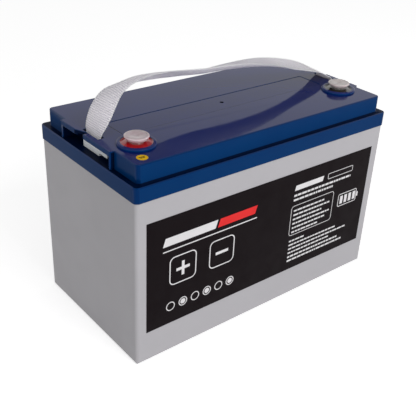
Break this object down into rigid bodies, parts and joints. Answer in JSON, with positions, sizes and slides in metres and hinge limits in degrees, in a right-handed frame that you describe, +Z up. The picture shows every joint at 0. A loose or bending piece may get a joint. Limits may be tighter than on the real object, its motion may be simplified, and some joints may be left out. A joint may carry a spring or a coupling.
{
  "type": "deep cycle battery",
  "caption": "Block battery with a grey jar, a stepped blue lid, threaded terminals under pull-off caps, a flush vent cover and a white webbing carrying strap held in end pockets.",
  "frame": {"origin": "centre of the flat base", "axes": "+X along the case towards the negative end, +Y away from the label, +Z up"},
  "size_m": [0.33, 0.172, 0.2605],
  "materials": {
    "jar_plastic": "grey moulded ABS, satin with a fine grain",
    "lid_plastic": "deep blue moulded ABS, polished",
    "cover_plastic": "deep blue moulded ABS, polished",
    "label_film": "printed vinyl film, near black with plain bars and frames",
    "sticker_yellow": "yellow paper sticker with plain tick marks",
    "rubber_black": "moulded rubber",
    "tinned_metal": "tinned brass",
    "seal_red": "red potting resin",
    "seal_black": "black potting resin",
    "cap_clear": "milky translucent polyethylene",
    "webbing_white": "white ribbed nylon webbing",
    "bar_white": "white moulded nylon",
    "lead": "cast lead",
    "positive_paste": "lead dioxide paste on a lead grid",
    "negative_paste": "spongy lead paste on a lead grid",
    "glass_mat": "glass fibre mat"
  },
  "bodies": {
    "case": {"container": "jar_plastic", "lid": "lid_plastic", "vent_cover": "cover_plastic", "front_label": "label_film", "date_sticker": "sticker_yellow", "positive_terminal": "tinned_metal", "negative_terminal": "tinned_metal", "positive_gasket": "rubber_black", "negative_gasket": "rubber_black", "positive_seal": "seal_red", "negative_seal": "seal_black", "positive_post": "lead", "negative_post": "lead", "positive_plates_1": "positive_paste", "positive_plates_2": "positive_paste", "positive_plates_3": "positive_paste", "positive_plates_4": "positive_paste", "positive_plates_5": "positive_paste", "positive_plates_6": "positive_paste", "negative_plates_1": "negative_paste", "negative_plates_2": "negative_paste", "negative_plates_3": "negative_paste", "negative_plates_4": "negative_paste", "negative_plates_5": "negative_paste", "negative_plates_6": "negative_paste", "separators_1": "glass_mat", "separators_2": "glass_mat", "separators_3": "glass_mat", "separators_4": "glass_mat", "separators_5": "glass_mat", "separators_6": "glass_mat", "cell_weld_1": "lead", "cell_weld_2": "lead", "cell_weld_3": "lead", "cell_weld_4": "lead", "cell_weld_5": "lead"},
    "handle": {"handle_strap": "webbing_white", "left_handle_bar": "bar_white", "right_handle_bar": "bar_white"},
    "positive_cap": {"positive_cap": "cap_clear"},
    "negative_cap": {"negative_cap": "cap_clear"},
    "valve_1": {"valve_cap_1": "rubber_black"},
    "valve_2": {"valve_cap_2": "rubber_black"},
    "valve_3": {"valve_cap_3": "rubber_black"},
    "valve_4": {"valve_cap_4": "rubber_black"},
    "valve_5": {"valve_cap_5": "rubber_black"},
    "valve_6": {"valve_cap_6": "rubber_black"}
  },
  "joints": [
    {"name": "handle_lift", "type": "slide", "parent": "case", "child": "handle", "axis": [0, 0, 1], "range_m": [0, 0.004]},
    {"name": "positive_cap_pull", "type": "slide", "parent": "case", "child": "positive_cap", "axis": [0, 0, 1], "range_m": [0, 0.04]},
    {"name": "negative_cap_pull", "type": "slide", "parent": "case", "child": "negative_cap", "axis": [0, 0, 1], "range_m": [0, 0.04]},
    {"name": "valve_1_lift", "type": "slide", "parent": "case", "child": "valve_1", "axis": [0, 0, 1], "range_m": [0, 0.001]},
    {"name": "valve_2_lift", "type": "slide", "parent": "case", "child": "valve_2", "axis": [0, 0, 1], "range_m": [0, 0.001]},
    {"name": "valve_3_lift", "type": "slide", "parent": "case", "child": "valve_3", "axis": [0, 0, 1], "range_m": [0, 0.001]},
    {"name": "valve_4_lift", "type": "slide", "parent": "case", "child": "valve_4", "axis": [0, 0, 1], "range_m": [0, 0.001]},
    {"name": "valve_5_lift", "type": "slide", "parent": "case", "child": "valve_5", "axis": [0, 0, 1], "range_m": [0, 0.001]},
    {"name": "valve_6_lift", "type": "slide", "parent": "case", "child": "valve_6", "axis": [0, 0, 1], "range_m": [0, 0.001]}
  ]
}
